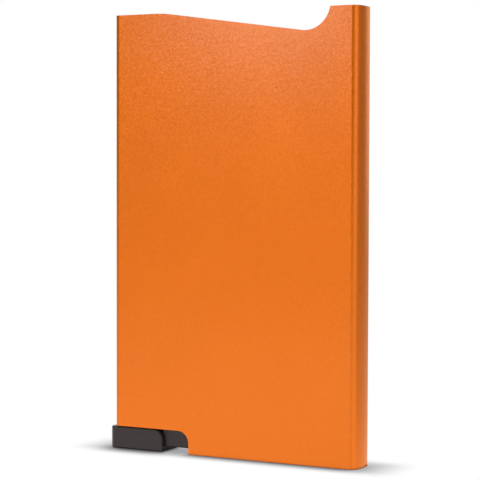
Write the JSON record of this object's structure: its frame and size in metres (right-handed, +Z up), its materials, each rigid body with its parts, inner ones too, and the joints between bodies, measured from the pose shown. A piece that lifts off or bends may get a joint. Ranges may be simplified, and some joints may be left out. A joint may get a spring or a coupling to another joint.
{
  "type": "card holder",
  "caption": "Flat pocket card holder: an open-topped aluminium case with a thumb scoop, and a foot lever whose stepped arm pushes the cards up in a fan.",
  "frame": {"origin": "centre of the casing's foot, on the surface that it stands on", "axes": "+Z up along the card slot towards its mouth, +X to the right seen from the front, -Y out of the front face; the lever's finger tab is at -X"},
  "size_m": [0.0639, 0.008, 0.102],
  "materials": {
    "anodised_case": "bead blasted and anodised orange",
    "chassis_plastic": "moulded, fine matte texture",
    "lever_plastic": "moulded, satin",
    "pin_steel": "ground",
    "strip_pile": "short dense pile",
    "backing_tape": "adhesive tape"
  },
  "bodies": {
    "case": {"casing": "anodised_case", "chassis_front": "chassis_plastic", "chassis_rear": "chassis_plastic", "pivot_pin": "pin_steel", "friction_strip_left": "strip_pile", "friction_strip_right": "strip_pile", "strip_backing_left": "backing_tape", "strip_backing_right": "backing_tape"},
    "lever": {"lever": "lever_plastic"}
  },
  "joints": [
    {"name": "lever_pivot", "type": "hinge", "parent": "case", "child": "lever", "pos_m": [-0.016, 0, 0.008], "axis": [0, -1, 0], "range_deg": [0, 48]}
  ]
}
